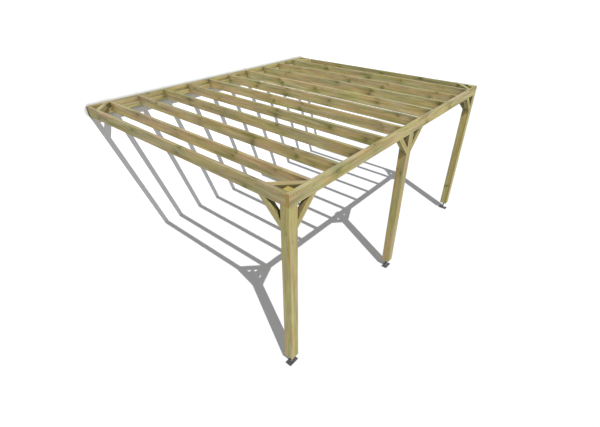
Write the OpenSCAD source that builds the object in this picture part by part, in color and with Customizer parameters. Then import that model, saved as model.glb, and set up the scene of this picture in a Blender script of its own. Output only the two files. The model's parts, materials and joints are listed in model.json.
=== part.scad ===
// Lean-to pergola: a wall ledger, three front posts on raised steel feet, a ring of
// beams with ten rafters laid flush between them, and square braces in the corners.
// Millimetres, +Z up. The origin is the middle of the ledger's wall face, -Y is the front.

/* [Overall] */
// Width along the wall, over the side beams
total_w = 5000; // [4000:50:6200]
// Depth from the wall face to the front of the front beam
total_d = 4060; // [2400:20:5000]
// Height from the ground to the top of the rafters
total_h = 2525; // [2000:5:3200]

/* [Boards] */
// Thickness of the ledger, beams and rafters
board_t = 45; // [34:1:55]
// Height of the ledger, beams and rafters
board_h = 145; // [120:5:200]

/* [Battens] */
// Depth of the battens that carry the rafter ends
batten_t = 45; // [30:1:60]
// Height of the battens
batten_h = 70; // [45:1:90]
// Gap between a rafter's notch and the front of its batten
notch_gap = 2; // [0:0.5:5]

/* [Posts] */
// Side of the square posts
post_w = 120; // [100:1:150]

/* [Braces] */
// Side of the square braces
brace_w = 70; // [45:1:90]
// Length of a brace along each of the two timbers it joins
brace_leg = 290; // [230:5:360]
// Room kept around a corner brace where it passes a batten or a post
brace_gap = 2; // [1:0.5:5]

/* [Feet] */
// Height of the posts' lower ends above the ground
foot_h = 135; // [90:5:180]
// Length of a base plate, along the front beam, or along the side beam at the right post
plate_l = 150; // [130:5:200]
// Width of a base plate
plate_w = 90; // [80:5:140]
// Thickness of a base plate
plate_t = 6; // [4:1:12]
// Diameter of the threaded rod
rod_d = 24; // [16:1:30]
// Width of the nut across its flats
nut_w = 36; // [32:1:46]
// Height of the nut
nut_h = 19; // [12:1:26]
// Side of the square head plate under the post
head_w = 100; // [80:1:120]
// Thickness of the head plate
head_t = 6; // [4:1:10]
// Diameter of the anchor holes in a base plate
anchor_d = 12; // [8:1:14]
// Distance from a base plate's edges to its anchor holes
anchor_inset = 15; // [12:1:20]

/* [Wall fixing] */
// Diameter of the bolt holes through the ledger
wall_bolt_d = 12; // [8:1:16]

/* [Hidden] */
RAFTERS = 10;

pine = "#b5a878";
pine_dark = "#9c8f60";
end_grain = "#c2a951";
steel = "#55555a";
eps = 1;           // how far a cutting shape runs past the face that it cuts
$fn = 48;

left_x = -total_w / 2;
front_y = -total_d;
top_z = board_h / 2;
ground_z = top_z - total_h;
beam_bottom = top_z - board_h;
batten_top = beam_bottom + batten_h;
post_bottom = ground_z + foot_h;
post_mid = post_w / 2;                                   // from a post's face to its axis
rafter_l = total_d - 2 * board_t;
first_rafter_x = left_x + board_t + brace_leg + board_t / 2;
rafter_pitch = -2 * first_rafter_x / (RAFTERS - 1);
brace_run = brace_w * sqrt(2);                           // a brace's width along each timber
bolt_z = (top_z + batten_top) / 2;                       // middle of the ledger above its batten
anchor_x = plate_l / 2 - anchor_inset;
anchor_y = plate_w / 2 - anchor_inset;

function rafter_x(i) = first_rafter_x + (i - 1) * rafter_pitch;

// The same piece on the other side of the middle
module right_side() {
    mirror([1, 0, 0]) children();
}

// A brace's outline: two 45-degree ends against the axes, leg long on each
module brace_outline(leg) {
    polygon([[leg, 0], [0, leg], [0, leg - brace_run], [leg - brace_run, 0]]);
}

// A corner brace lying level with the beam tops, in a corner that opens towards +X and +Y
module corner_brace() {
    translate([0, 0, top_z - brace_w]) linear_extrude(brace_w) brace_outline(brace_leg);
}

// The room that a corner brace needs where it passes other timbers
module corner_brace_clearance() {
    inner = brace_leg - brace_run - brace_gap * sqrt(2);
    outer = brace_leg + brace_gap * sqrt(2);
    translate([0, 0, top_z - brace_w - brace_gap]) linear_extrude(brace_w + brace_gap + eps)
        polygon([[outer, 0], [0, outer], [0, inner], [inner, 0]]);
}

// Puts a corner piece in the left front corner of the frame
module at_front_left() {
    translate([left_x + board_t, front_y + board_t, 0]) children();
}

// Puts a corner piece in the left corner against the ledger
module at_back_left() {
    translate([left_x + board_t, -board_t, 0]) mirror([0, 1, 0]) children();
}

module ledger() {
    color(pine) difference() {
        translate([left_x, -board_t, beam_bottom]) cube([total_w, board_t, board_h]);
        for (i = [1:RAFTERS - 1])
            translate([(rafter_x(i) + rafter_x(i + 1)) / 2, eps, bolt_z]) rotate([90, 0, 0])
                cylinder(d = wall_bolt_d, h = board_t + 2 * eps);
    }
}

module ledger_batten() {
    color(pine) difference() {
        translate([left_x + board_t, -board_t - batten_t, beam_bottom])
            cube([total_w - 2 * board_t, batten_t, batten_h]);
        at_back_left() corner_brace_clearance();
        right_side() at_back_left() corner_brace_clearance();
    }
}

module front_beam() {
    color(pine) translate([left_x, front_y, beam_bottom]) cube([total_w, board_t, board_h]);
}

module front_batten_left() {
    color(pine) difference() {
        translate([left_x + post_w, front_y + board_t, beam_bottom])
            cube([-left_x - post_w - post_mid, batten_t, batten_h]);
        at_front_left() corner_brace_clearance();
    }
}

module side_beam_left() {
    color(pine) translate([left_x, front_y + board_t, beam_bottom])
        cube([board_t, rafter_l, board_h]);
}

// A corner post, cut back on both outer faces so that the beams sit flush with it
module post_left() {
    cut_h = board_h + eps;
    color(pine_dark) difference() {
        translate([left_x, front_y, post_bottom]) cube([post_w, post_w, top_z - post_bottom]);
        translate([left_x - eps, front_y - eps, beam_bottom])
            cube([post_w + 2 * eps, board_t + eps, cut_h]);
        translate([left_x - eps, front_y - eps, beam_bottom])
            cube([board_t + eps, post_w + 2 * eps, cut_h]);
        at_front_left() corner_brace_clearance();
    }
}

// The middle post, cut back on its front face only, and no higher than the battens
// behind the beam
module post_middle() {
    color(pine_dark) difference() {
        translate([-post_mid, front_y, post_bottom])
            cube([post_w, post_w, batten_top - post_bottom]);
        translate([-post_mid - eps, front_y - eps, beam_bottom])
            cube([post_w + 2 * eps, board_t + eps, batten_h + eps]);
    }
}

// A rafter, notched at both ends over the battens
module rafter(i) {
    notch_l = batten_t + notch_gap;
    color(pine) translate([rafter_x(i) - board_t / 2, front_y + board_t, beam_bottom]) difference() {
        cube([board_t, rafter_l, board_h]);
        translate([-eps, -eps, -eps]) cube([board_t + 2 * eps, notch_l + eps, batten_h + eps]);
        translate([-eps, rafter_l - notch_l, -eps])
            cube([board_t + 2 * eps, notch_l + eps, batten_h + eps]);
    }
}

module corner_brace_front_left() {
    color(end_grain) at_front_left() corner_brace();
}

module corner_brace_back_left() {
    color(end_grain) at_back_left() corner_brace();
}

// A knee brace drawn in the XZ plane, in the corner that opens towards +X and -Z
module knee_brace() {
    rotate([-90, 0, 0]) linear_extrude(brace_w) brace_outline(brace_leg);
}

module knee_brace_front_left() {
    color(end_grain) translate([left_x + post_w, front_y, beam_bottom]) knee_brace();
}

module knee_brace_middle_right() {
    color(end_grain) translate([post_mid, front_y, beam_bottom]) knee_brace();
}

module knee_brace_side_left() {
    color(end_grain) translate([left_x + brace_w, front_y + post_w, beam_bottom])
        rotate([0, 0, 90]) knee_brace();
}

// A welded foot: base plate, threaded rod with its nut, and the head plate under the post.
// The long side of its base plate runs along the front beam, turned by turn degrees
module post_foot(x, turn = 0) {
    rod_l = foot_h - plate_t - head_t;
    color(steel) translate([x, front_y + post_mid, ground_z]) rotate([0, 0, turn]) {
        difference() {
            translate([-plate_l / 2, -plate_w / 2, 0]) cube([plate_l, plate_w, plate_t]);
            for (sx = [-1, 1], sy = [-1, 1])
                translate([sx * anchor_x, sy * anchor_y, -eps])
                    cylinder(d = anchor_d, h = plate_t + 2 * eps);
        }
        translate([0, 0, plate_t]) cylinder(d = rod_d, h = rod_l);
        translate([0, 0, foot_h - head_t - nut_h])
            cylinder(d = nut_w / cos(30), h = nut_h, $fn = 6);
        translate([-head_w / 2, -head_w / 2, foot_h - head_t]) cube([head_w, head_w, head_t]);
    }
}

ledger();
ledger_batten();
front_beam();
front_batten_left();
right_side() front_batten_left();  // front_batten_right
side_beam_left();
right_side() side_beam_left();  // side_beam_right
post_left();
post_middle();
right_side() post_left();  // post_right
for (i = [1:RAFTERS])
    rafter(i);
corner_brace_front_left();
right_side() corner_brace_front_left();  // corner_brace_front_right
corner_brace_back_left();
right_side() corner_brace_back_left();  // corner_brace_back_right
knee_brace_side_left();
right_side() knee_brace_side_left();  // knee_brace_side_right
knee_brace_front_left();
right_side() knee_brace_front_left();  // knee_brace_front_right
right_side() knee_brace_middle_right();  // knee_brace_middle_left
knee_brace_middle_right();
post_foot(left_x + post_mid);  // post_foot_left
post_foot(0);  // post_foot_middle
post_foot(-left_x - post_mid, 90);  // post_foot_right
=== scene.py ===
import bmesh
import bpy
import json
import math
import random
from mathutils import Matrix, Vector


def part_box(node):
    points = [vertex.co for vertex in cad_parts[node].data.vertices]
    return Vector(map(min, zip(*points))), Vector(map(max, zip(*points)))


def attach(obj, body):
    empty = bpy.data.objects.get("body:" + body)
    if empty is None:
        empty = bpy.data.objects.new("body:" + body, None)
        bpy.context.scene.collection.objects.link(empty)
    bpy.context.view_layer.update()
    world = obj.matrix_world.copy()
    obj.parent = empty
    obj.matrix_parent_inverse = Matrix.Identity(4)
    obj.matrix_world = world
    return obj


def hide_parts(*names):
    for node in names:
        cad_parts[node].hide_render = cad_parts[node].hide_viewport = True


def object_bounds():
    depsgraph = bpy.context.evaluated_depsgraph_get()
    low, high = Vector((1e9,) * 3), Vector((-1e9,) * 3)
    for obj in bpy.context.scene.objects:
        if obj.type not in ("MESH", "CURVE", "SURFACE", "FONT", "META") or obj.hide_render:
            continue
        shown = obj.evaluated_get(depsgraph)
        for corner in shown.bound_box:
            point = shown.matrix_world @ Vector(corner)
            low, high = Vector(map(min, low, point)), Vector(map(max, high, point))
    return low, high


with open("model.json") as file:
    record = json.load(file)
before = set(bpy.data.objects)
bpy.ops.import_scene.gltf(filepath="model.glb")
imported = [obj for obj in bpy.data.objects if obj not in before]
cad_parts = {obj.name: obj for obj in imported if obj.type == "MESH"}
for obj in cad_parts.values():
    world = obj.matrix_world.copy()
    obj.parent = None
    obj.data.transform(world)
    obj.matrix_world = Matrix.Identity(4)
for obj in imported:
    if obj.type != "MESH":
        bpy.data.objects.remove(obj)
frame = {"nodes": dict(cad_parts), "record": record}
cadLow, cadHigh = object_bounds()
print("frame loaded with", len(frame["nodes"]), "pieces")

scene = bpy.context.scene
scene.view_settings.view_transform = "Standard"
fullTurn = 2 * math.pi
nearlyZero = 1e-5  # metres
flatAngle = math.radians(1)  # faces that meet at less are one


# Helpers for node trees. A value is a number, a colour or a vector, or a socket that gets linked.

def place(tree, kind, inputs=None, **settings):
    made = tree.nodes.new(kind)
    for key, value in settings.items():
        setattr(made, key, value)
    for key, value in (inputs or {}).items():
        if isinstance(value, bpy.types.NodeSocket):
            tree.links.new(value, made.inputs[key])
        else:
            made.inputs[key].default_value = value
    return made


def calc(tree, operation, *values, clamp=False):
    inputs = dict(enumerate(values))
    return place(tree, "ShaderNodeMath", inputs, operation=operation, use_clamp=clamp).outputs[0]


def chain(tree, operation, first, *others):
    for other in others:
        first = calc(tree, operation, first, other)
    return first


def times(tree, *values):
    return chain(tree, "MULTIPLY", *values)


def addUp(tree, start, *pairs):  # a start, plus each value times its weight
    for value, weight in pairs:
        start = calc(tree, "MULTIPLY_ADD", value, weight, start)
    return start


def rest(tree, share):
    return calc(tree, "SUBTRACT", 1.0, share)


def vectorCalc(tree, operation, *values):
    made = place(tree, "ShaderNodeVectorMath", dict(enumerate(values)), operation=operation)
    return made.outputs["Value" if operation in ("LENGTH", "DOT_PRODUCT") else "Vector"]


def parts(tree, vector):
    return place(tree, "ShaderNodeSeparateXYZ", {0: vector}).outputs


def channels(tree, colour):
    return place(tree, "ShaderNodeSeparateColor", {0: colour}).outputs


def join(tree, *values):
    return place(tree, "ShaderNodeCombineXYZ", dict(enumerate(values))).outputs[0]


def fade(tree, value, start, end, low=0.0, high=1.0):  # a smooth step from low at start to high at end
    inputs = {"Value": value, "From Min": start, "From Max": end, "To Min": low, "To Max": high}
    return place(tree, "ShaderNodeMapRange", inputs, interpolation_type="SMOOTHSTEP").outputs["Result"]


def fadeFrom(tree, value, origin, start, end, *limits):  # the same, with its ends measured from an origin
    return fade(tree, value, origin + start, origin + end, *limits)


def blendColour(tree, factor, first, second, how="MIX"):
    made = place(tree, "ShaderNodeMix", {0: factor, 6: first, 7: second}, data_type="RGBA", blend_type=how)
    return made.outputs[2]


def tint(tree, factor, colour, wash):
    return blendColour(tree, factor, colour, wash, "MULTIPLY")


def geometry(tree, output):
    return place(tree, "ShaderNodeNewGeometry").outputs[output]


def attribute(tree, name, output="Fac"):
    return place(tree, "ShaderNodeAttribute", attribute_name=name).outputs[output]


def openness(tree, reach, samples):  # 1 in the open, towards 0 where something is near
    made = place(tree, "ShaderNodeAmbientOcclusion", {"Distance": reach}, samples=samples)
    return made.outputs["AO"]


def chanceAt(tree, spot, dimensions="1D"):  # random numbers, always the same ones at a spot
    inputs = {"W" if dimensions == "1D" else "Vector": spot}
    return place(tree, "ShaderNodeTexWhiteNoise", inputs, noise_dimensions=dimensions).outputs


def streaks(tree, position, along, across, detail, roughness):  # noise pulled out along the grain
    scaled = vectorCalc(tree, "MULTIPLY", position, (along, across, across))
    inputs = {"Vector": scaled, "Scale": 1.0, "Detail": detail, "Roughness": roughness}
    return place(tree, "ShaderNodeTexNoise", inputs).outputs


def newGroup(name, inputs, outputs):  # inputs and outputs: a kind of socket and its labels
    group = bpy.data.node_groups.new(name, "ShaderNodeTree")
    for way, sockets in (("INPUT", inputs), ("OUTPUT", outputs)):
        for kind, labels in sockets.items():
            for label in labels:
                group.interface.new_socket(name=label, in_out=way, socket_type="NodeSocket" + kind)
    return group, group.nodes.new("NodeGroupInput").outputs, group.nodes.new("NodeGroupOutput").inputs


def newMaterial(name):
    material = bpy.data.materials.new(name)
    material.use_nodes = True
    return material, material.node_tree, material.node_tree.nodes["Principled BSDF"].inputs


def addBump(tree, shader, height, look):
    inputs = {"Height": height, "Distance": look["bump"], "Strength": look["bumpStrength"]}
    tree.links.new(place(tree, "ShaderNodeBump", inputs).outputs["Normal"], shader["Normal"])


# Helpers for meshes and pieces

def cleanSolid(nodeName):
    solid = bmesh.new()
    solid.from_mesh(frame["nodes"][nodeName].data)
    bmesh.ops.remove_doubles(solid, verts=solid.verts, dist=nearlyZero)
    bmesh.ops.dissolve_limit(solid, angle_limit=flatAngle, verts=solid.verts, edges=solid.edges)
    solid.normal_update()
    return solid


def toMesh(solid, name):
    bmesh.ops.recalc_face_normals(solid, faces=solid.faces)
    mesh = bpy.data.meshes.new(name)
    solid.to_mesh(mesh)
    solid.free()
    return mesh


def standing(spot, outward):  # the place of a thing that stands at a spot, with its +Z outward
    placed = outward.to_track_quat("Z", "Y").to_matrix().to_4x4()
    placed.translation = spot
    return placed


def addCylinder(solid, radius, depth, placed, segments=24, top=None):
    bmesh.ops.create_cone(solid, cap_ends=True, segments=segments, radius1=radius,
                          radius2=radius if top is None else top, depth=depth, matrix=placed)


def cutAway(mesh, cutter, operation="DIFFERENCE"):
    toolMesh = toMesh(cutter, "cutter")
    block, tool = bpy.data.objects.new("block", mesh), bpy.data.objects.new("tool", toolMesh)
    for each in (block, tool):
        scene.collection.objects.link(each)
    change = block.modifiers.new("cut", "BOOLEAN")
    change.operation, change.solver, change.object = operation, "EXACT", tool
    result = bpy.data.meshes.new_from_object(block.evaluated_get(bpy.context.evaluated_depsgraph_get()))
    result.name = mesh.name
    for each in (block, tool):
        bpy.data.objects.remove(each)
    bpy.data.meshes.remove(toolMesh)
    return result


def atAngle(reach, angle, rise):
    return Vector((reach * math.cos(angle), reach * math.sin(angle), rise))


def bridge(solid, lower, upper):  # faces between two rings, where a ring can be a single point
    made = []
    for side in range(len(lower)):
        after = (side + 1) % len(lower)
        corners = [lower[side], lower[after], upper[after], upper[side]]
        made.append(solid.faces.new([vert for k, vert in enumerate(corners) if vert not in corners[:k]]))
    return made


def addPiece(pieceName, mesh, material):
    piece = bpy.data.objects.new(pieceName, mesh)
    scene.collection.objects.link(piece)
    mesh.materials.clear()
    mesh.materials.append(material)
    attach(piece, "root")
    return piece


# Timber: a log's branches grow in whorls, and each shows as a knot where a face cuts through it

knotShape = {
    "branches": 5,
    "whorlRoom": 0.5,  # share of the spacing that a whorl's middle keeps to
    "scatter": 0.16, "stray": 0.8,  # metres along the log and radians around it that a branch is off
    "lean": 0.5,  # metres that a branch climbs for each metre out
    "sizes": (0.45, 0.9),  # least share of the full radius, and what chance adds
    "taper": 0.24, "least": 0.0004,  # radius for each metre out, and the least radius
    "start": (0.0, 0.006),  # where a branch begins at the pith
    "edge": (1.1, 0.85), "rimInside": (0.7, 0.98), "rimOutside": (1.22, 1.02),  # fades, in radii
    "haloPull": 0.3, "haloStart": 0.7, "haloFade": -0.6,  # drawn out along the grain
    "swell": 1.25, "swellFade": -0.22,  # how the rings bend around a knot
}


def buildKnotField():
    inputs = {"Vector": ["Grain"], "Float": ["Spacing", "Radius", "Branch"]}
    tree, given, made = newGroup("knotField", inputs, {"Float": ["Knot", "Rim", "Halo", "Bulge"]})
    shape, part = knotShape, parts(tree, given["Grain"])
    cell = calc(tree, "FLOOR", calc(tree, "DIVIDE", part[0], given["Spacing"]))
    whorl = channels(tree, chanceAt(tree, cell)["Color"])
    chance = channels(tree, chanceAt(tree, join(tree, cell, given["Branch"]), "2D")["Color"])
    room = shape["whorlRoom"]
    middle = addUp(tree, calc(tree, "ADD", cell, (1 - room) / 2), (whorl[0], room))
    middle = times(tree, middle, given["Spacing"])
    middle = addUp(tree, middle, (calc(tree, "SUBTRACT", chance[0], 0.5), shape["scatter"]))
    ahead = calc(tree, "SUBTRACT", part[0], middle)
    turn = addUp(tree, 0.0, (whorl[1], fullTurn), (given["Branch"], fullTurn / shape["branches"]),
                 (chance[1], shape["stray"]))
    outward = join(tree, shape["lean"], calc(tree, "COSINE", turn), calc(tree, "SINE", turn))
    branch = vectorCalc(tree, "NORMALIZE", outward)
    spot = join(tree, ahead, part[1], part[2])
    out = vectorCalc(tree, "DOT_PRODUCT", spot, branch)
    beside = vectorCalc(tree, "SUBTRACT", spot, vectorCalc(tree, "MULTIPLY", branch, out))

    least, more = shape["sizes"]
    full = times(tree, given["Radius"], addUp(tree, least, (chance[2], more)))
    radius = calc(tree, "MINIMUM", times(tree, out, shape["taper"]), full)
    radius = calc(tree, "MAXIMUM", radius, shape["least"])
    away = calc(tree, "DIVIDE", vectorCalc(tree, "LENGTH", beside), radius)  # 1 at the knot's edge
    pulled = vectorCalc(tree, "LENGTH", vectorCalc(tree, "MULTIPLY", beside, (shape["haloPull"], 1, 1)))
    beyond = calc(tree, "SUBTRACT", calc(tree, "DIVIDE", pulled, radius), shape["haloStart"])
    beyond = calc(tree, "MAXIMUM", beyond, 0.0)
    swell = calc(tree, "EXPONENT", times(tree, away, away, shape["swellFade"]))
    rim = [fade(tree, away, *shape[side]) for side in ("rimInside", "rimOutside")]
    shown = {"Knot": fade(tree, away, *shape["edge"]), "Rim": times(tree, *rim),
             "Halo": calc(tree, "EXPONENT", times(tree, beyond, shape["haloFade"])),
             "Bulge": times(tree, swell, radius, shape["swell"])}
    present = fade(tree, out, *shape["start"])
    for label, value in shown.items():
        tree.links.new(times(tree, value, present), made[label])
    return tree


# Timber: growth rings, heartwood, knots, stain and fibres at a place in the log

pineStreaks = {  # stretch along and across the grain, detail, roughness
    "bend": (0.8, 7, 2.0, 0.5), "waver": (7, 70, 2.0, 0.5),
    "patch": (1.6, 13, 3.0, 0.55), "mottle": (5.5, 34, 3.0, 0.6), "stain": (1.4, 20, 4.0, 0.6),
    "band": (2.2, 28, 3.0, 0.6), "thread": (3.0, 120, 3.0, 0.6), "fibre": (14, 800, 3.0, 0.6),
    "crack": (3.0, 260, 2.0, 0.4),
}
pineFades = {  # from, to, and the values there where they aren't 0 and 1
    "lateStart": (0.3, 0.86), "lateStop": (1.0, 0.9),
    "warmPatch": (0.38, 0.62, -0.15, 0.85), "warmMottle": (0.35, 0.65, -0.35, 0.35),
    "brown": (0.026, 0.012), "stain": (0.46, 0.72), "green": (0.56, 0.72),
    "goldenRed": (0.35, 0.65, 1.01, 0.98), "goldenBlue": (0.35, 0.65, 0.84, 1.13),
    "band": (0.3, 0.7, 0.84, 1.16), "thread": (0.25, 0.75, 0.9, 1.1), "fibre": (0.25, 0.75, 0.9, 1.1),
    "haloThread": (0.3, 0.65, 0.5, 1.0), "crack": (0.7, 0.78),
}
pineAmounts = {
    "bend": 0.022, "waver": 0.0016,  # metres that the grain strays
    "ringNoise": 60.0, "ringShift": 2.4,  # uneven years
    "palestLate": 0.4,  # the faintest year's latewood
    "heartWander": 0.1, "heartEdge": (0.015, -0.01), "heartWarm": 0.45,
    "elsewhere": (3.3, 0.7, 0.2),  # a second place in the log, for other marks
    "cleanEnd": -0.85,  # sawn ends show little stain
    "knot": 0.8, "rim": 0.6,
    "brownWash": (0.76, 0.79, 0.6, 1), "rimWash": (0.45, 0.45, 0.4, 1),
    "paler": 0.05, "greener": (-0.035, 0.02, -0.03),
    "rough": 0.56, "fibreRough": 0.14, "knotRough": -0.14, "endRough": 0.12,
    "fibreHigh": 0.45, "lateHigh": 0.35, "crackHigh": -0.9, "rimHigh": -0.8, "knotHigh": 0.5,
}


def buildTreatedPine(knotField):
    inputs = {"Vector": ["Grain", "Tone"],
              "Float": ["End", "Ring width", "Knot spacing", "Knot radius", "Heart radius"],
              "Color": ["Sapwood", "Heartwood", "Latewood", "Stain", "Green", "Knot colour", "Halo",
                        "End tint"]}
    outputs = {"Color": ["Colour"], "Float": ["Roughness", "Height"]}
    tree, given, made = newGroup("treatedPine", inputs, outputs)
    amounts, grain = pineAmounts, given["Grain"]
    shifted = vectorCalc(tree, "ADD", grain, amounts["elsewhere"])

    def marks(name, position=grain):
        return streaks(tree, position, *pineStreaks[name])

    def faded(value, name):
        return fade(tree, value, *pineFades[name])

    wavy = grain
    for name in ("bend", "waver"):
        strayed = vectorCalc(tree, "SUBTRACT", marks(name)["Color"], (0.5, 0.5, 0.5))
        wavy = vectorCalc(tree, "MULTIPLY_ADD", strayed, (0, amounts[name], amounts[name]), wavy)
    branches = [place(tree, "ShaderNodeGroup", {"Grain": wavy, "Spacing": given["Knot spacing"],
                      "Radius": given["Knot radius"], "Branch": float(number)}, node_tree=knotField).outputs
                for number in range(1, knotShape["branches"] + 1)]
    knot, rim, halo, bulge = [chain(tree, "MAXIMUM", *[branch[label] for branch in branches])
                              for label in ("Knot", "Rim", "Halo", "Bulge")]

    part = parts(tree, wavy)
    fromPith = vectorCalc(tree, "LENGTH", join(tree, 0.0, part[1], part[2]))
    fromPith = calc(tree, "SUBTRACT", fromPith, bulge)
    uneven = place(tree, "ShaderNodeTexNoise", {"W": fromPith, "Scale": amounts["ringNoise"], "Detail": 1.0},
                   noise_dimensions="1D").outputs["Fac"]
    year = addUp(tree, calc(tree, "DIVIDE", fromPith, given["Ring width"]), (uneven, amounts["ringShift"]))
    season = calc(tree, "FRACT", year)
    strength = chanceAt(tree, calc(tree, "FLOOR", year))["Value"]
    strength = addUp(tree, amounts["palestLate"], (strength, 1 - amounts["palestLate"]))
    late = times(tree, faded(season, "lateStart"), faded(season, "lateStop"), strength)

    patch = channels(tree, marks("patch")["Color"])
    mottle = channels(tree, marks("mottle")["Color"])
    edge = addUp(tree, fromPith, (calc(tree, "SUBTRACT", patch[0], 0.5), amounts["heartWander"]))
    limits = [calc(tree, "ADD", given["Heart radius"], shift) for shift in amounts["heartEdge"]]
    warm = addUp(tree, faded(patch[1], "warmPatch"), (fade(tree, edge, *limits), amounts["heartWarm"]))
    warm = calc(tree, "ADD", warm, faded(mottle[0], "warmMottle"), clamp=True)
    colour = blendColour(tree, warm, given["Sapwood"], given["Heartwood"])
    brown = calc(tree, "MULTIPLY", parts(tree, given["Tone"])[2], faded(fromPith, "brown"), clamp=True)
    colour = tint(tree, brown, colour, amounts["brownWash"])
    colour = tint(tree, late, colour, given["Latewood"])

    sides = addUp(tree, 1.0, (given["End"], amounts["cleanEnd"]))
    stain = faded(marks("stain", shifted)["Fac"], "stain")
    colour = tint(tree, times(tree, stain, sides), colour, given["Stain"])
    golden = join(tree, faded(patch[2], "goldenRed"), 1.0, faded(patch[2], "goldenBlue"))
    colour = vectorCalc(tree, "MULTIPLY", colour, golden)
    colour = tint(tree, times(tree, faded(mottle[1], "green"), sides), colour, given["Green"])
    band, thread = marks("band", shifted)["Fac"], marks("thread", shifted)["Fac"]
    fibre = marks("fibre")["Fac"]
    light = times(tree, faded(band, "band"), faded(thread, "thread"), faded(fibre, "fibre"))
    colour = vectorCalc(tree, "MULTIPLY", colour, light)

    colour = tint(tree, times(tree, halo, sides, faded(thread, "haloThread")), colour, given["Halo"])
    colour = blendColour(tree, times(tree, knot, amounts["knot"]), colour, given["Knot colour"])
    rimColour = tint(tree, 1.0, given["Knot colour"], amounts["rimWash"])
    colour = blendColour(tree, times(tree, rim, amounts["rim"]), colour, rimColour)
    colour = tint(tree, given["End"], colour, given["End tint"])
    paler, greener = parts(tree, given["Tone"])[0:2]
    paler = addUp(tree, 1.0, (paler, amounts["paler"]))
    tone = join(tree, *[addUp(tree, paler, (greener, weight)) for weight in amounts["greener"]])
    tree.links.new(vectorCalc(tree, "MULTIPLY", colour, tone), made["Colour"])

    rough = addUp(tree, amounts["rough"], (fibre, amounts["fibreRough"]), (knot, amounts["knotRough"]),
                  (given["End"], amounts["endRough"]))
    tree.links.new(rough, made["Roughness"])
    crack = faded(marks("crack", shifted)["Fac"], "crack")
    height = addUp(tree, 0.0, (fibre, amounts["fibreHigh"]), (late, amounts["lateHigh"]),
                   (crack, amounts["crackHigh"]), (rim, amounts["rimHigh"]), (knot, amounts["knotHigh"]))
    tree.links.new(height, made["Height"])
    return tree


treatedPine = buildTreatedPine(buildKnotField())
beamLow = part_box("front_beam")[0].z


def timberMaterial(name, look):
    material, tree, shader = newMaterial(name)
    end = attribute(tree, "sawnEnd")
    inputs = {key.title(): attribute(tree, key, "Vector") for key in ("grain", "tone")}
    inputs["End"] = end
    for label, value in look["timber"].items():
        inputs[label] = (*value, 1) if isinstance(value, tuple) else value
    pine = place(tree, "ShaderNodeGroup", inputs, node_tree=treatedPine).outputs
    facing, spot = geometry(tree, "True Normal"), parts(tree, geometry(tree, "Position"))
    up = parts(tree, facing)[2]
    level = fade(tree, up, *look["level"])

    # painted shade: the colour darkens where other pieces come near, most in corners and joints
    openAround = openness(tree, look["shadeReach"], look["shadeSamples"])
    # painted shade is weighted by facing: less toward the sun, more away from it
    sunny = vectorCalc(tree, "DOT_PRODUCT", facing, look["sunward"])
    facingShade = times(tree, fade(tree, sunny, *look["sunFacingShade"]), fade(tree, sunny, *look["facingShade"]))
    # deeper painted shade in tight corners under the beams
    corner = times(tree, fade(tree, openAround, *look["tightCorner"]),
                   fadeFrom(tree, spot[2], beamLow, *look["belowBeam"], 1.0, look["openCorner"]))
    litShare = calc(tree, "POWER", openAround, times(tree, calc(tree, "MAXIMUM", facingShade, corner), look["shadeDepth"]))
    # painted shade is weaker near the wall
    lessShadeByWall = fadeFrom(tree, spot[1], cadHigh.y, *look["lessShadeByWall"])
    litShare = calc(tree, "MULTIPLY_ADD", litShare, rest(tree, lessShadeByWall), lessShadeByWall)
    # painted shade on the ledger's end and top where they meet the wall
    wallEndShade = times(tree, end, fadeFrom(tree, spot[1], cadHigh.y, *look["wallEndShade"]))
    wallTopShade = times(tree, level, fadeFrom(tree, spot[1], cadHigh.y, *look["wallTopShade"]))
    # painted shade on down-facing faces
    litShare = times(tree, litShare, fade(tree, up, *look["undersideShade"]),
                  rest(tree, calc(tree, "MAXIMUM", wallEndShade, wallTopShade)))

    shadeTint = join(tree, litShare, litShare, calc(tree, "POWER", litShare, look["shadeYellowing"]))
    # up-facing faces are greyed and darkened: partly weathering, partly painted shade against the stronger
    # light on the tops
    colour = tint(tree, times(tree, level, rest(tree, end)), pine["Colour"], look["topGreyAndShade"])
    tree.links.new(vectorCalc(tree, "MULTIPLY", colour, shadeTint), shader["Base Color"])
    tree.links.new(pine["Roughness"], shader["Roughness"])
    addBump(tree, shader, pine["Height"], look)
    shader["Specular IOR Level"].default_value = look["shine"]
    return material


# shine, bumps and painted shade for all timber
timberSurfaceAndShade = {
    "shine": 0.3, "bump": 0.0008, "bumpStrength": 0.8,
    "shadeDepth": 1.7, "shadeReach": 0.14, "shadeSamples": 8, "shadeYellowing": 1.12,  # painted shade in corners and joints, darker and yellowish
    "sunward": (-0.27, -0.51, 0.82),  # the way that the sunniest faces look
    "sunFacingShade": (0.28, 0.62, 1.0, 0.3), "facingShade": (0.1, -0.5, 1.0, 1.9),  # painted shade, weaker on faces toward the sun and stronger on faces away from it
    "tightCorner": (0.75, 0.4, 0.0, 1.9),  # painted shade is deepest in a tight corner under the beams
    "belowBeam": (-0.03, 0.01), "openCorner": 0.4,
    "lessShadeByWall": (-0.8, -0.1, 0.1, 0.42),  # painted shade is weaker near the wall
    "wallEndShade": (-0.05, -0.045, 0.0, 0.8), "wallTopShade": (-0.05, -0.02, 0.0, 0.26),  # painted shade on the ledger's end and top by the wall
    "undersideShade": (-0.2, -0.6, 1.0, 0.82),  # painted shade on faces that look down
    # level: up-facing faces; their grey and darker colour is partly weathering and partly painted shade
    "level": (0.8, 0.98), "topGreyAndShade": (0.856, 0.865, 0.986, 1),
}
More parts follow.
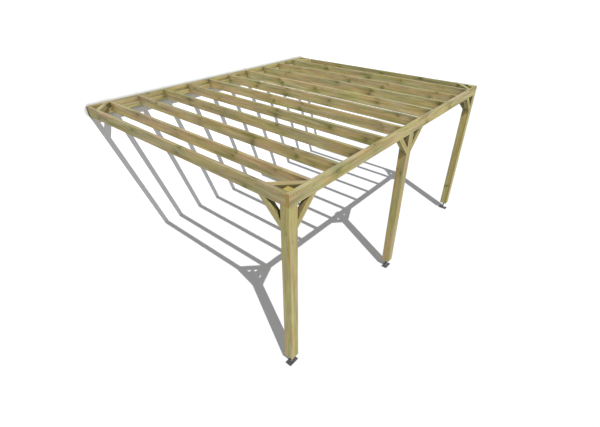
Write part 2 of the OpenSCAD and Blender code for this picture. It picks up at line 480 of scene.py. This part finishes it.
boardLook = {
    **timberSurfaceAndShade, "openCorner": 0.8,
    "timber": {"Ring width": 0.0036, "Knot spacing": 1.0, "Knot radius": 0.018, "Heart radius": 0.05,
               "Sapwood": (0.543, 0.487, 0.224), "Heartwood": (0.582, 0.437, 0.23),
               "Latewood": (0.84, 0.8, 0.7), "Stain": (0.56, 0.63, 0.5), "Green": (0.74, 0.88, 0.7),
               "Knot colour": (0.23, 0.18, 0.08), "Halo": (0.46, 0.54, 0.34), "End tint": (0.86, 0.78, 0.44)},
}
rafterLook = {**boardLook, "topGreyAndShade": (0.7, 0.755, 0.83, 1)}  # painted shade and grey, stronger still on the rafters' narrow tops
postLook = {
    **timberSurfaceAndShade,
    "timber": {"Ring width": 0.0042, "Knot spacing": 1.7, "Knot radius": 0.008, "Heart radius": 0.045,
               "Sapwood": (0.56, 0.504, 0.23), "Heartwood": (0.605, 0.454, 0.218),
               "Latewood": (0.86, 0.82, 0.72), "Stain": (0.75, 0.8, 0.66), "Green": (0.84, 0.96, 0.8),
               "Knot colour": (0.2, 0.14, 0.055), "Halo": (0.6, 0.62, 0.42),
               # the posts' end tint holds painted shade for their up-facing tops
               "End tint": (0.865, 0.84, 0.485)},
}
braceLook = {
    **timberSurfaceAndShade,
    "timber": {"Ring width": 0.004, "Knot spacing": 1.3, "Knot radius": 0.011, "Heart radius": 0.05,
               "Sapwood": (0.549, 0.504, 0.224), "Heartwood": (0.56, 0.454, 0.213),
               "Latewood": (0.82, 0.78, 0.64), "Stain": (0.7, 0.72, 0.55), "Green": (0.8, 0.94, 0.7),
               "Knot colour": (0.15, 0.09, 0.035), "Halo": (0.62, 0.64, 0.42), "End tint": (0.95, 0.84, 0.5)},
}
timberMaterials = {"board_timber": timberMaterial("boardTimber", boardLook),  # by slot, or by name
                   "rafter": timberMaterial("rafterTimber", rafterLook),
                   "post_timber": timberMaterial("postTimber", postLook),
                   "brace_timber": timberMaterial("braceTimber", braceLook)}
print("timber materials made")


# Fixings: where the screws go, and the holes that their heads sit in

screwSizes = {  # head: its radius and height
    "sunk": {"head": (0.0048, 0.0009), "hole": 0.0053, "holeLength": 0.0035, "deep": 0.0015},
    "pocket": {"head": (0.0062, 0.0028), "hole": 0.0085, "holeLength": 0.06, "deep": 0.026, "spread": 0.017},
    "wall": {"head": (0.0057, 0.0034), "shank": 0.0049, "deep": 0.004, "backGap": 0.001},
}
fixings = {
    "boardRise": (-0.04, 0.04),  # from the middle of a board
    "rafterRise": (0.018, 0.052),  # above the middle, where the batten stops
    "cornerPost": 0.0225,  # from a corner post's middle to that of its tongue
    "cornerSpread": 0.02, "middleSpread": 0.035, "middleEdge": 0.018,
    "beamEnd": (0.022, 0.056), "rafterEnd": 0.022,
    "battenEnd": 0.03, "battenShift": 0.09,
}
rafterNames = [name for name in frame["nodes"] if name.startswith("rafter_")]
rafterMiddles = sorted((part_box(name)[0].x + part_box(name)[1].x) / 2 for name in rafterNames)
bayMiddles = [(here + after) / 2 for here, after in zip(rafterMiddles, rafterMiddles[1:])]
screwPlan = {}  # node: its screws


def planScrew(nodeName, kind, floor, outward):  # floor: the middle of the hole's floor
    screwPlan.setdefault(nodeName, []).append({"kind": kind, "floor": floor, "outward": outward})


def planSunkScrew(nodeName, spot, outward):
    outward = Vector(outward)
    planScrew(nodeName, "sunk", Vector(spot) - outward * screwSizes["sunk"]["deep"], outward)


def planPockets(nodeName):  # two screws through each mitred end of a brace, square to the timber it meets
    pocket = screwSizes["pocket"]
    solid = cleanSolid(nodeName)
    faces = sorted(solid.faces, key=lambda face: face.calc_area())
    for end in faces[:2]:
        across = faces[-1].normal.cross(end.normal).normalized()
        for side in (-1, 1):
            floor = end.calc_center_median() - end.normal * pocket["deep"] + across * pocket["spread"] * side
            planScrew(nodeName, "pocket", floor, -end.normal)
    solid.free()


def planFixings():
    low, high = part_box("front_beam")
    level = (low.z + high.z) / 2
    rises = [level + rise for rise in fixings["boardRise"]]
    for x in rafterMiddles:
        for rise in fixings["rafterRise"]:
            planSunkScrew("front_beam", (x, low.y, level + rise), (0, -1, 0))
    for name, inward in (("post_left", 1), ("post_middle", 0), ("post_right", -1)):
        near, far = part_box(name)
        x = (near.x + far.x) / 2 + inward * fixings["cornerPost"]
        edge = fixings["middleEdge"]
        heights = rises if inward else (low.z + edge, far.z - edge)
        spread = fixings["cornerSpread" if inward else "middleSpread"]
        for side in (-spread, spread):
            for z in heights:
                planSunkScrew("front_beam", (x + side, low.y, z), (0, -1, 0))
    for name, way in (("side_beam_left", -1), ("side_beam_right", 1)):
        near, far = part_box(name)
        middle, outer = (near.x + far.x) / 2, near.x if way < 0 else far.x
        for z in rises:
            planSunkScrew("front_beam", (middle, low.y, z), (0, -1, 0))
            planSunkScrew("ledger", (middle, cadHigh.y, z), (0, 1, 0))
            for inset in fixings["beamEnd"]:
                planSunkScrew(name, (outer, near.y + inset, z), (way, 0, 0))
    for name in rafterNames:
        near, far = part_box(name)
        planSunkScrew(name, ((near.x + far.x) / 2, far.y - fixings["rafterEnd"], far.z), (0, 0, 1))
    for name in ("ledger_batten", "front_batten_left", "front_batten_right"):
        near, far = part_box(name)
        y, way = (near.y, -1) if name == "ledger_batten" else (far.y, 1)
        for x in bayMiddles:
            if near.x + fixings["battenEnd"] < x < far.x - fixings["battenEnd"]:
                planSunkScrew(name, (x + fixings["battenShift"], y, (near.z + far.z) / 2), (0, way, 0))
    for name in frame["nodes"]:
        if "brace" in name:
            planPockets(name)


def cutHoles(mesh, screws):
    cutter = bmesh.new()
    for screw in screws:
        size = screwSizes[screw["kind"]]
        middle = screw["floor"] + screw["outward"] * (size["holeLength"] / 2)
        addCylinder(cutter, size["hole"], size["holeLength"], standing(middle, screw["outward"]))
    return cutAway(mesh, cutter)


# Timber: each piece is cut from its own place in a log, with rounded long edges

timberCut = {
    "arris": 0.0022, "arrisSteps": 4,  # rounding of the planed long edges
    "sawn": 0.0007,  # break on the sawn edges
    "sawnFacing": 0.6,  # a face that looks along the grain more than this is sawn
    "flatFacing": 0.1, "parallel": 0.999, "sharp": 0.5,  # for planed faces, long edges and sharp ones
    "pith": {"board_timber": (0.01, 0.085), "post_timber": (0.0, 0.022), "brace_timber": (0.02, 0.07),
             "post_right": (0.078, 0.08),
             "front_beam": (0.12, 0.13), "side_beam_left": (0.1, 0.11)},  # clear boards from a log's outside
    "heartSide": {"post_right": (-1, -1, 0)},  # its pith lies along its front inner edge
    "brownHeart": {"post_right": 1.0},
    "logStep": 6.5, "slide": {"post_middle": 2.1},  # metres along the log
    "turn": 0.5, "lean": 0.007,  # how far a piece is turned and runs out of line with its log
    # partly each piece's own tone, partly painted light: rafters and ledger paler, side beams darker, to even
    # out shade from neighbouring pieces
    "tones": {"ledger": (1.8, 0.0), "front_beam": (-0.1, 0.4),
              "side_beam_left": (-1.3, -0.6), "side_beam_right": (-1.6, 0.0),
              "post_left": (-1.0, 0.0), "post_middle": (-2.4, 0.2), "post_right": (-0.4, 0.6),
              "rafter_1": (2.0, -0.8), "rafter_2": (0.4, -0.4), "rafter_3": (-0.6, -0.8),
              "rafter_4": (1.4, 0.0), "rafter_5": (3.2, -0.6), "rafter_6": (1.4, 0.2),
              "rafter_7": (4.6, 0.8), "rafter_8": (1.6, 0.0), "rafter_9": (2.2, -0.2),
              "rafter_10": (1.4, -0.4), "corner_brace_front_left": (-2.4, -1.0)},  # paler, greener
    "toneChance": (0.6, 0.6, 0.1),  # what chance does to paler, greener and brown heart
    "seed": 41,
}
cutChance = random.Random(timberCut["seed"])
madeTimbers = []


def sectionOf(solid):  # the grain's direction, and two directions across it
    longest = max(solid.edges, key=lambda edge: edge.calc_length())
    along = (longest.verts[1].co - longest.verts[0].co).normalized()
    flats = [face for face in solid.faces if abs(face.normal.dot(along)) < timberCut["flatFacing"]]
    across = max(flats, key=lambda face: face.calc_area()).normal.copy()
    return along, across, along.cross(across)


def isSawnFace(face, along):
    return abs(face.normal.dot(along)) > timberCut["sawnFacing"]


def roundEdges(solid, edges, size, steps):
    if edges:
        made = bmesh.ops.bevel(solid, geom=edges, offset=size, offset_type="OFFSET", segments=steps,
                               profile=0.5, affect="EDGES", clamp_overlap=True)
        for face in made["faces"]:
            face.smooth = True
        solid.normal_update()


def makeTimber(nodeName, slotName, pieceName):
    solid = cleanSolid(nodeName)
    along, across, third = sectionOf(solid)
    spans = []
    for axis in (across, third):
        reaches = [vert.co.dot(axis) for vert in solid.verts]
        spans.append((axis, (min(reaches), max(reaches))))

    def onCorner(edge):
        run = (edge.verts[1].co - edge.verts[0].co).normalized()
        spot = edge.verts[0].co
        atCorner = all(min(abs(spot.dot(axis) - end) for end in span) < nearlyZero for axis, span in spans)
        return atCorner and abs(run.dot(along)) > timberCut["parallel"]

    def isSawn(edge):
        if len(edge.link_faces) != 2 or not edge.is_convex or edge.calc_face_angle() < timberCut["sharp"]:
            return False
        return sum(isSawnFace(face, along) for face in edge.link_faces) == 1

    corners = [edge for edge in solid.edges if onCorner(edge)]
    roundEdges(solid, corners, timberCut["arris"], timberCut["arrisSteps"])
    roundEdges(solid, [edge for edge in solid.edges if isSawn(edge)], timberCut["sawn"], 1)
    mesh = toMesh(solid, pieceName)
    if nodeName in screwPlan:
        mesh = cutHoles(mesh, screwPlan[nodeName])
    layGrain(mesh, nodeName, slotName, along, across, third)
    piece = addPiece(pieceName, mesh, timberMaterials.get(nodeName.split("_")[0], timberMaterials[slotName]))
    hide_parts(nodeName)


def layGrain(mesh, nodeName, slotName, along, across, third):
    near, far = timberCut["pith"].get(nodeName, timberCut["pith"][slotName])
    distance, turn = cutChance.uniform(near, far), cutChance.choice((0, math.pi))
    turn += cutChance.uniform(-timberCut["turn"], timberCut["turn"])
    if nodeName in timberCut["heartSide"]:
        side = Vector(timberCut["heartSide"][nodeName])
        turn = math.atan2(-side.dot(third), -side.dot(across))
    lean = [cutChance.uniform(-1, 1) * timberCut["lean"] for _ in range(2)]
    middle = sum((vert.co for vert in mesh.vertices), Vector()) / len(mesh.vertices)
    start = timberCut["logStep"] * len(madeTimbers) + cutChance.uniform(0, 1)
    start += timberCut["slide"].get(nodeName, 0.0)
    madeTimbers.append(mesh.name)
    wanted = (*timberCut["tones"].get(nodeName, (0, 0)), timberCut["brownHeart"].get(nodeName, 0.0))
    tone = [cutChance.uniform(-reach, reach) + value for reach, value in zip(timberCut["toneChance"], wanted)]
    grain = mesh.attributes.new("grain", "FLOAT_VECTOR", "POINT").data
    tones = mesh.attributes.new("tone", "FLOAT_VECTOR", "POINT").data
    for vert in mesh.vertices:
        offset = vert.co - middle
        run = offset.dot(along)
        aside = offset.dot(across) + distance * math.cos(turn) + lean[0] * run
        beside = offset.dot(third) + distance * math.sin(turn) + lean[1] * run
        grain[vert.index].vector = (start + run, aside, beside)
        tones[vert.index].vector = tone
    ends = mesh.attributes.new("sawnEnd", "FLOAT", "FACE").data
    for face in mesh.polygons:
        ends[face.index].value = float(isSawnFace(face, along))


planFixings()
for entry in frame["record"]["subparts"]:
    if entry["material_slot"] in timberMaterials:
        makeTimber(entry["node"], entry["material_slot"], entry["node"] + "_timber")
print("timbers made:", len(madeTimbers))


# Metal: worn coating and dust, shared by the feet and the screws

coatPattern = {
    "patch": (55, 55, 4.0, 0.6), "fine": (420, 420, 3.0, 0.6),  # stretch twice, detail, roughness
    "worn": (0.66, 0.42), "level": (0.4, 0.95), "settled": (0.35, 0.65, 0.35, 1.0),
}


def buildWornCoat():
    inputs = {"Vector": ["Place"], "Float": ["Edge", "Up", "Wear", "Dust"]}
    tree, given, made = newGroup("wornCoat", inputs, {"Float": ["Bare", "Dusty", "Mottle", "Height"]})
    patch = streaks(tree, given["Place"], *coatPattern["patch"])["Fac"]
    fine = streaks(tree, given["Place"], *coatPattern["fine"])["Fac"]
    settled = times(tree, fade(tree, given["Up"], *coatPattern["level"]),
                    fade(tree, patch, *coatPattern["settled"]))
    shown = {"Bare": times(tree, given["Edge"], given["Wear"], fade(tree, patch, *coatPattern["worn"])),
             "Dusty": times(tree, settled, given["Dust"]),
             "Mottle": times(tree, calc(tree, "ADD", fine, patch), 0.5), "Height": fine}
    for label, value in shown.items():
        tree.links.new(value, made[label])
    return tree


wornCoat = buildWornCoat()


def metalMaterial(name, look):
    material, tree, shader = newMaterial(name)
    inputs = {"Place": place(tree, "ShaderNodeTexCoord").outputs["Object"],
              "Up": parts(tree, geometry(tree, "True Normal"))[2], "Edge": attribute(tree, "edge"),
              "Wear": look["wear"], "Dust": look["dust"]}
    coat = place(tree, "ShaderNodeGroup", inputs, node_tree=wornCoat).outputs
    colour = blendColour(tree, coat["Mottle"], (*look["dark"], 1), (*look["light"], 1))
    colour = blendColour(tree, coat["Bare"], colour, (*look["bare"], 1))
    colour = blendColour(tree, coat["Dusty"], colour, (*look["dustColour"], 1))
    tree.links.new(colour, shader["Base Color"])
    rough = addUp(tree, look["rough"], (coat["Mottle"], look["roughRange"]),
                  (coat["Dusty"], look["dustRough"]))
    tree.links.new(rough, shader["Roughness"])
    metal = calc(tree, "MAXIMUM", coat["Bare"], look["metal"])
    tree.links.new(calc(tree, "SUBTRACT", metal, coat["Dusty"], clamp=True), shader["Metallic"])
    addBump(tree, shader, coat["Height"], look)
    return material


footLook = {
    "dark": (0.046, 0.0465, 0.044), "light": (0.076, 0.076, 0.071), "bare": (0.34, 0.33, 0.32),
    "dustColour": (0.15, 0.145, 0.13), "wear": 0.7, "dust": 0.3, "dustRough": 0.3,
    "rough": 0.36, "roughRange": 0.16, "metal": 0.0, "bump": 0.0002, "bumpStrength": 0.6,
}
screwLook = {
    "dark": (0.2, 0.165, 0.08), "light": (0.29, 0.245, 0.125), "bare": (0.5, 0.47, 0.4),
    "dustColour": (0.3, 0.27, 0.2), "wear": 0.5, "dust": 0.3, "dustRough": 0.3,
    "rough": 0.38, "roughRange": 0.15, "metal": 0.35, "bump": 0.0001, "bumpStrength": 0.6,
}
footSteel = metalMaterial("footSteel", footLook)
screwSteel = metalMaterial("screwSteel", screwLook)
chamferSlant = (0.1, 0.95)  # faces that look up or down between these shares are chamfers


def markEdges(mesh):
    edge = mesh.attributes.new("edge", "FLOAT", "FACE").data
    for face in mesh.polygons:
        edge[face.index].value = float(chamferSlant[0] < abs(face.normal.z) < chamferSlant[1])


# Screw heads, one piece for each timber

screwShape = {
    "sides": 24, "chamfer": 0.0005, "sunk": 0.0004,
    "drive": 0.42, "driveLobes": 6, "driveWave": 0.14, "driveDepth": 0.7, "driveTaper": 0.9,
}


def addHead(solid, floor, outward, radius, height):
    shape, placed = screwShape, standing(floor, outward)
    edge = solid.faces.layers.float.get("edge") or solid.faces.layers.float.new("edge")
    drive, wave, bottom = shape["drive"] * radius, shape["driveWave"], height * (1 - shape["driveDepth"])
    rows = [(0.0, -shape["sunk"], 0), (radius, -shape["sunk"], 0), (radius, height - shape["chamfer"], 0),
            (radius - shape["chamfer"], height, 0), (drive, height, wave),
            (drive * shape["driveTaper"], bottom, wave), (0.0, bottom, 0)]
    rings = []
    for size, rise, lobes in rows:
        if size == 0.0:
            rings.append([solid.verts.new(placed @ Vector((0, 0, rise)))] * shape["sides"])
            continue
        rings.append([])
        for side in range(shape["sides"]):
            angle = fullTurn * side / shape["sides"]
            reach = size * (1 + lobes * math.cos(shape["driveLobes"] * angle))
            rings[-1].append(solid.verts.new(placed @ atAngle(reach, angle, rise)))
    for row, (inner, outer) in enumerate(zip(rings, rings[1:])):
        for face in bridge(solid, inner, outer):
            face[edge] = float(row == 2)  # the chamfer


def makeScrews():
    for nodeName, screws in screwPlan.items():
        solid = bmesh.new()
        for screw in screws:
            addHead(solid, screw["floor"], screw["outward"], *screwSizes[screw["kind"]]["head"])
        addPiece(nodeName + "_screws", toMesh(solid, nodeName + "_screws"), screwSteel)


def makeWallBolts():  # one in each bay, with its head just inside the hole
    low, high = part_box("ledger")
    rise = (high.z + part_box("ledger_batten")[1].z) / 2
    size = screwSizes["wall"]
    solid = bmesh.new()
    for x in bayMiddles:
        seat = Vector((x, low.y + size["deep"], rise))
        addHead(solid, seat, Vector((0, -1, 0)), *size["head"])
        length = high.y - size["backGap"] - seat.y
        middle = Matrix.Translation((x, seat.y + length / 2, rise))
        addCylinder(solid, size["shank"], length, middle @ Matrix.Rotation(fullTurn / 4, 4, "X"))
    addPiece("ledger_wallBolts", toMesh(solid, "ledger_wallBolts"), screwSteel)


makeScrews()
makeWallBolts()
print("screws made:", sum(len(screws) for screws in screwPlan.values()))


# Post feet: base plate, threaded rod welded to it, nut, and head plate with its screws

footShape = {
    "plate": (0.15, 0.09, 0.006), "head": (0.1, 0.1, 0.006), "corner": 0.005, "cornerSteps": 6,
    "edge": 0.0008, "edgeSteps": 2, "hole": 0.006, "holeSides": 32, "holeInset": 0.015, "drill": 0.03,
    "rod": 0.012, "pitch": 0.003, "threadDepth": 0.0015, "rodSides": 40, "rodStart": 0.002, "rodInNut": 0.006,
    "thread": ((0.0, 0), (0.12, 0), (0.48, 1), (0.6, 1)),  # shares of the pitch, and 1 where the crest is
    "nut": (0.036, 0.019), "nutChamfer": 0.0022,
    "weld": (0.0048, 34), "headWeld": (0.0036, 46), "headWeldGap": 0.0012,  # weld: its size and ripples
    "coach": 0.036, "coachHead": (0.013, 0.0052), "coachFlange": (0.0085, 0.0014),
    "anchorHead": (0.017, 0.0064), "anchorWasher": (0.0105, 0.002),
    "anchorShank": 0.0055, "anchorRise": 0.0002,
}
nutShape = {"turnedSides": 72, "turnedSpare": 0.0004, "slant": 1.6, "past": 0.0002}  # turned at both ends
boltShape = {"sides": 32, "chamfer": 0.17, "flangeSlant": 0.001, "sunk": 0.0003}
weldShape = {
    "steps": 6, "perRipple": 4, "root": (0.0008, 0.0006), "toe": 0.0002,  # how far it reaches into the steel
    "ripple": 0.07, "waves": ((3, 1, 0.06), (7, 0, 0.04)),  # times around, start, share of its size
}
plateCorners = ((1, 1), (-1, 1), (-1, -1), (1, -1))


def roundedPlate(long, wide, thick, low):
    corner, steps = footShape["corner"], footShape["cornerSteps"]
    solid = bmesh.new()
    outline = []
    for quarter, (sideX, sideY) in enumerate(plateCorners):
        for step in range(steps + 1):
            bend = atAngle(corner, (quarter + step / steps) * fullTurn / 4, low)
            outline.append(bend + Vector((sideX * (long / 2 - corner), sideY * (wide / 2 - corner), 0)))
    base = solid.faces.new([solid.verts.new(spot) for spot in outline])
    raised = bmesh.ops.extrude_face_region(solid, geom=[base])["geom"]
    raised = [item for item in raised if isinstance(item, bmesh.types.BMVert)]
    bmesh.ops.translate(solid, verts=raised, vec=(0, 0, thick))
    bmesh.ops.recalc_face_normals(solid, faces=solid.faces)
    rims = [rim for rim in solid.edges if abs(rim.verts[0].co.z - rim.verts[1].co.z) < nearlyZero]
    bmesh.ops.bevel(solid, geom=rims, offset=footShape["edge"], segments=footShape["edgeSteps"],
                    profile=0.5, affect="EDGES")
    return solid


def anchorSpots():
    long, wide, _ = footShape["plate"]
    inX, inY = long / 2 - footShape["holeInset"], wide / 2 - footShape["holeInset"]
    return [(x * inX, y * inY) for x, y in plateCorners]


def drilledPlate(name):
    thick = footShape["plate"][2]
    cutter = bmesh.new()
    for spot in anchorSpots():
        middle = Matrix.Translation((*spot, thick / 2))
        addCylinder(cutter, footShape["hole"], footShape["drill"], middle, footShape["holeSides"])
    return cutAway(toMesh(roundedPlate(*footShape["plate"], 0.0), name), cutter)


def hexNut(name, across, high, chamfer, low):
    sides, past = nutShape["turnedSides"], nutShape["past"]
    corner = across / math.sqrt(3)
    solid = bmesh.new()
    addCylinder(solid, corner, high, Matrix.Translation((0, 0, low + high / 2)), 6)
    lathe = bmesh.new()
    reach = corner + nutShape["turnedSpare"]
    narrow = reach - chamfer * nutShape["slant"]
    rings = []
    for size, rise in ((narrow, low - past), (reach, low + chamfer), (reach, low + high - chamfer),
                       (narrow, low + high + past)):
        rings.append([lathe.verts.new(atAngle(size, fullTurn * side / sides, rise)) for side in range(sides)])
    for lower, upper in zip(rings, rings[1:]):
        bridge(lathe, lower, upper)
    lathe.faces.new(rings[0][::-1])
    lathe.faces.new(rings[-1])
    return cutAway(toMesh(solid, name), lathe, "INTERSECT")


def threadedRod(name, low, high):
    pitch, sides, profile = footShape["pitch"], footShape["rodSides"], footShape["thread"]
    step = len(profile)
    turns = int((high - low) / pitch)
    rows = [(turn + share, footShape["rod"] - (1 - crest) * footShape["threadDepth"])
            for turn in range(turns) for share, crest in profile]
    solid = bmesh.new()
    columns = []
    for side in range(sides):
        share = side / sides
        columns.append([solid.verts.new(atAngle(size, fullTurn * share, low + pitch * (rise + share)))
                        for rise, size in rows])

    def at(side, row):  # a whole turn ends one thread further up
        return columns[side][row] if side < sides else columns[0][row + step]

    for side in range(sides):
        for row in range(len(rows) - 1 - (step if side == sides - 1 else 0)):
            solid.faces.new((at(side, row), at(side + 1, row), at(side + 1, row + 1), at(side, row + 1)))
    start = solid.verts.new((0, 0, low + pitch / 2))
    stop = solid.verts.new((0, 0, low + pitch * (turns + 0.5)))
    lowerLoop = [column[0] for column in columns] + columns[0][step:0:-1]
    upperLoop = [column[-1] for column in columns] + columns[-1][-2:-1 - step:-1]
    for loop, hub in ((lowerLoop, start), (upperLoop, stop)):
        for here, after in zip(loop, loop[1:] + loop[:1]):
            solid.faces.new((here, after, hub))
    return toMesh(solid, name)


def weldBead(name, radius, size, ripples, low, way):
    solid = bmesh.new()
    around, steps, toe = ripples * weldShape["perRipple"], weldShape["steps"], weldShape["toe"]
    inside, under = weldShape["root"]
    rings = []
    for spot in range(around):
        turn = fullTurn * spot / around
        swell = 1 + weldShape["ripple"] * math.cos(ripples * turn)
        for count, start, share in weldShape["waves"]:
            swell += share * math.sin(count * turn + start)
        reach = size * swell
        ring = [(radius - inside, -under)]
        for step in range(steps + 1):
            bend = fullTurn / 4 * step / steps
            ring.append((radius - toe + reach * math.sin(bend), reach * math.cos(bend) - toe))
        rings.append([solid.verts.new(atAngle(out, turn, low + way * rise)) for out, rise in ring])
    for here, after in zip(rings, rings[1:] + rings[:1]):
        for face in bridge(solid, here, after):
            face.smooth = True
    return toMesh(solid, name)


def gather(name, meshes):
    solid = bmesh.new()
    for mesh in meshes:
        solid.from_mesh(mesh)
        bpy.data.meshes.remove(mesh)
    return toMesh(solid, name)


def addBolt(solid, spot, seat, way, head, flange):  # a hex head on its flange or washer, out from the seat
    size, high = head
    wide, thick = flange
    low = seat + thick - boltShape["sunk"] if way > 0 else seat - thick - high + boltShape["sunk"]
    made = hexNut("boltHead", size, high, high * boltShape["chamfer"], low)
    made.transform(Matrix.Translation((*spot, 0)))
    solid.from_mesh(made)
    bpy.data.meshes.remove(made)
    narrow = wide - boltShape["flangeSlant"]
    below, above = (wide, narrow) if way > 0 else (narrow, wide)
    middle = Matrix.Translation((*spot, seat + way * thick / 2))
    addCylinder(solid, below, thick, middle, boltShape["sides"], above)


def makeFoot(nodeName):
    low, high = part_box(nodeName)
    plateTop = footShape["plate"][2]
    headLow = high.z - low.z - footShape["head"][2]
    nutWide, nutHigh = footShape["nut"]
    nutLow = headLow - nutHigh
    steel = [drilledPlate("plate"), toMesh(roundedPlate(*footShape["head"], headLow), "headPlate"),
             hexNut("nut", nutWide, nutHigh, footShape["nutChamfer"], nutLow),
             threadedRod("rod", footShape["rodStart"], nutLow + footShape["rodInNut"]),
             weldBead("weld", footShape["rod"], *footShape["weld"], plateTop, 1),
             weldBead("headWeld", nutWide / 2 + footShape["headWeldGap"], *footShape["headWeld"],
                      headLow, -1)]
    coach, anchors, reach = bmesh.new(), bmesh.new(), footShape["coach"]
    for (x, y), spot in zip(plateCorners, anchorSpots()):
        addBolt(coach, (x * reach, y * reach), headLow, -1, footShape["coachHead"], footShape["coachFlange"])
        addBolt(anchors, spot, plateTop, 1, footShape["anchorHead"], footShape["anchorWasher"])
        middle = Matrix.Translation((*spot, plateTop / 2 + footShape["anchorRise"]))
        addCylinder(anchors, footShape["anchorShank"], plateTop, middle)
    turned = Matrix.Rotation(fullTurn / 4, 4, "Z") if high.y - low.y > high.x - low.x else Matrix()
    placed = Matrix.Translation(((low.x + high.x) / 2, (low.y + high.y) / 2, low.z)) @ turned
    made = {"steel": (gather(nodeName + "_steel", steel), footSteel),
            "coachScrews": (toMesh(coach, nodeName + "_coachScrews"), screwSteel),
            "anchors": (toMesh(anchors, nodeName + "_anchors"), footSteel)}
    for kind, (mesh, material) in made.items():
        mesh.transform(placed)
        markEdges(mesh)
        piece = addPiece(nodeName + "_" + kind, mesh, material)
        if kind == "steel":
            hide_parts(nodeName)


for entry in frame["record"]["subparts"]:
    if entry["material_slot"] == "foot_steel":
        makeFoot(entry["node"])
print("post feet made")


# Floor, wall, light and camera

stageLook = {
    "size": 400.0, "floorSeen": (0.975, 0.99, 1.03), "floorBounce": (0.42, 0.42, 0.42),
    "wallSeen": (1.19, 1.215, 1.27), "wallFacing": (-0.13, -0.93, 0.35), "wallGap": 0.001,
    "touchReach": 0.085, "touchSamples": 12,  # the shade where timber nears the wall
    "touch": 1.5, "yellowTouch": 1.75,
    "touchEnd": (0.9, 0.5),  # metres above the floor, which leaves no line
    "sunStrength": 2.99, "sunSpread": 0.4, "sunTravel": (0.327, 0.635, -1.0),
    "skyStrength": 0.29,
}


def stagePlane(name, corners):
    mesh = bpy.data.meshes.new(name)
    mesh.from_pydata(corners, [], [(0, 1, 2, 3)])
    plane = bpy.data.objects.new(name, mesh)
    scene.collection.objects.link(plane)
    material = bpy.data.materials.new(name + "Paint")
    material.use_nodes = True
    material.node_tree.nodes.clear()
    mesh.materials.append(material)
    return plane, material.node_tree


def seenDirectly(tree):  # 1 for what the camera, a reflection or glass shows
    path = place(tree, "ShaderNodeLightPath").outputs
    return chain(tree, "MAXIMUM", *[path[f"Is {way} Ray"] for way in ("Camera", "Glossy", "Transmission")])


def paint(tree, colour, seen, **more):  # a matt colour where seen is 1, and nothing where it's 0
    shader = place(tree, "ShaderNodeBsdfDiffuse", {"Color": colour, **more}).outputs[0]
    through = place(tree, "ShaderNodeBsdfTransparent").outputs[0]
    mixed = place(tree, "ShaderNodeMixShader", {0: seen, 1: through, 2: shader})
    place(tree, "ShaderNodeOutputMaterial", {"Surface": mixed.outputs[0]})


def makeFloor():  # it isn't seen from below
    half, ground = stageLook["size"] / 2, cadLow.z
    corners = [(-half, -half, ground), (half, -half, ground), (half, half, ground), (-half, half, ground)]
    _, tree = stagePlane("floor", corners)
    bounce, shown = [(*stageLook[key], 1) for key in ("floorBounce", "floorSeen")]
    camera = place(tree, "ShaderNodeLightPath").outputs["Is Camera Ray"]
    hidden = times(tree, camera, geometry(tree, "Backfacing"))
    paint(tree, blendColour(tree, seenDirectly(tree), bounce, shown), rest(tree, hidden))


def makeWall():  # the house wall, shown only from the front, and lets all light through
    half, ground, back = stageLook["size"] / 2, cadLow.z, cadHigh.y + stageLook["wallGap"]
    corners = [(-half, back, ground), (half, back, ground), (half, back, half), (-half, back, half)]
    wall, tree = stagePlane("wall", corners)
    wall.visible_shadow = False
    touch = openness(tree, stageLook["touchReach"], stageLook["touchSamples"])
    rise = parts(tree, geometry(tree, "Position"))[2]
    touch = calc(tree, "MAXIMUM", touch, fadeFrom(tree, rise, ground, *stageLook["touchEnd"]))
    deep, yellow = [calc(tree, "POWER", touch, stageLook[key]) for key in ("touch", "yellowTouch")]
    shown = vectorCalc(tree, "MULTIPLY", join(tree, deep, deep, yellow), stageLook["wallSeen"])
    facing = join(tree, *Vector(stageLook["wallFacing"]).normalized())
    camera = place(tree, "ShaderNodeLightPath").outputs["Is Camera Ray"]
    paint(tree, shown, times(tree, camera, rest(tree, geometry(tree, "Backfacing"))), Normal=facing)


def makeLight():
    sun = bpy.data.lights.new("sun", "SUN")
    sun.energy = stageLook["sunStrength"]
    sun.angle = math.radians(stageLook["sunSpread"])
    lamp = bpy.data.objects.new("sun", sun)
    lamp.rotation_mode = "QUATERNION"
    lamp.rotation_quaternion = Vector(stageLook["sunTravel"]).to_track_quat("-Z", "Y")
    scene.collection.objects.link(lamp)
    scene.world = bpy.data.worlds.new("sky")
    scene.world.use_nodes = True
    tree = scene.world.node_tree
    tree.nodes.clear()
    glow = addUp(tree, stageLook["skyStrength"], (seenDirectly(tree), 1 - stageLook["skyStrength"]))
    sky = place(tree, "ShaderNodeBackground", {"Color": (1, 1, 1, 1), "Strength": glow})
    place(tree, "ShaderNodeOutputWorld", {"Surface": sky.outputs[0]})


cameraView = {
    "left": 2.136, "front": 1.935, "above": 1.6825,  # metres out from the frame's left top corner
    "turn": 49.79, "tilt": -33.15,  # degrees from +Y towards +X, and up
    "wide": 78.1,  # field of view across, in degrees
    "sensor": 36, "farthest": 500,  # millimetres and metres
}


def makeCamera():
    low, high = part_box("front_beam")
    camera = bpy.data.objects.new("camera", bpy.data.cameras.new("camera"))
    camera.data.sensor_width = cameraView["sensor"]
    camera.data.lens = cameraView["sensor"] / 2 / math.tan(math.radians(cameraView["wide"] / 2))
    camera.data.clip_end = cameraView["farthest"]
    camera.location = (low.x - cameraView["left"], low.y - cameraView["front"], high.z + cameraView["above"])
    turn, tilt = math.radians(cameraView["turn"]), math.radians(cameraView["tilt"])
    ahead = Vector((math.sin(turn) * math.cos(tilt), math.cos(turn) * math.cos(tilt), math.sin(tilt)))
    camera.rotation_mode = "QUATERNION"
    camera.rotation_quaternion = ahead.to_track_quat("-Z", "Y")
    scene.collection.objects.link(camera)
    scene.camera = camera


makeFloor()
makeWall()
makeLight()
makeCamera()
print("floor, wall, light and camera made")
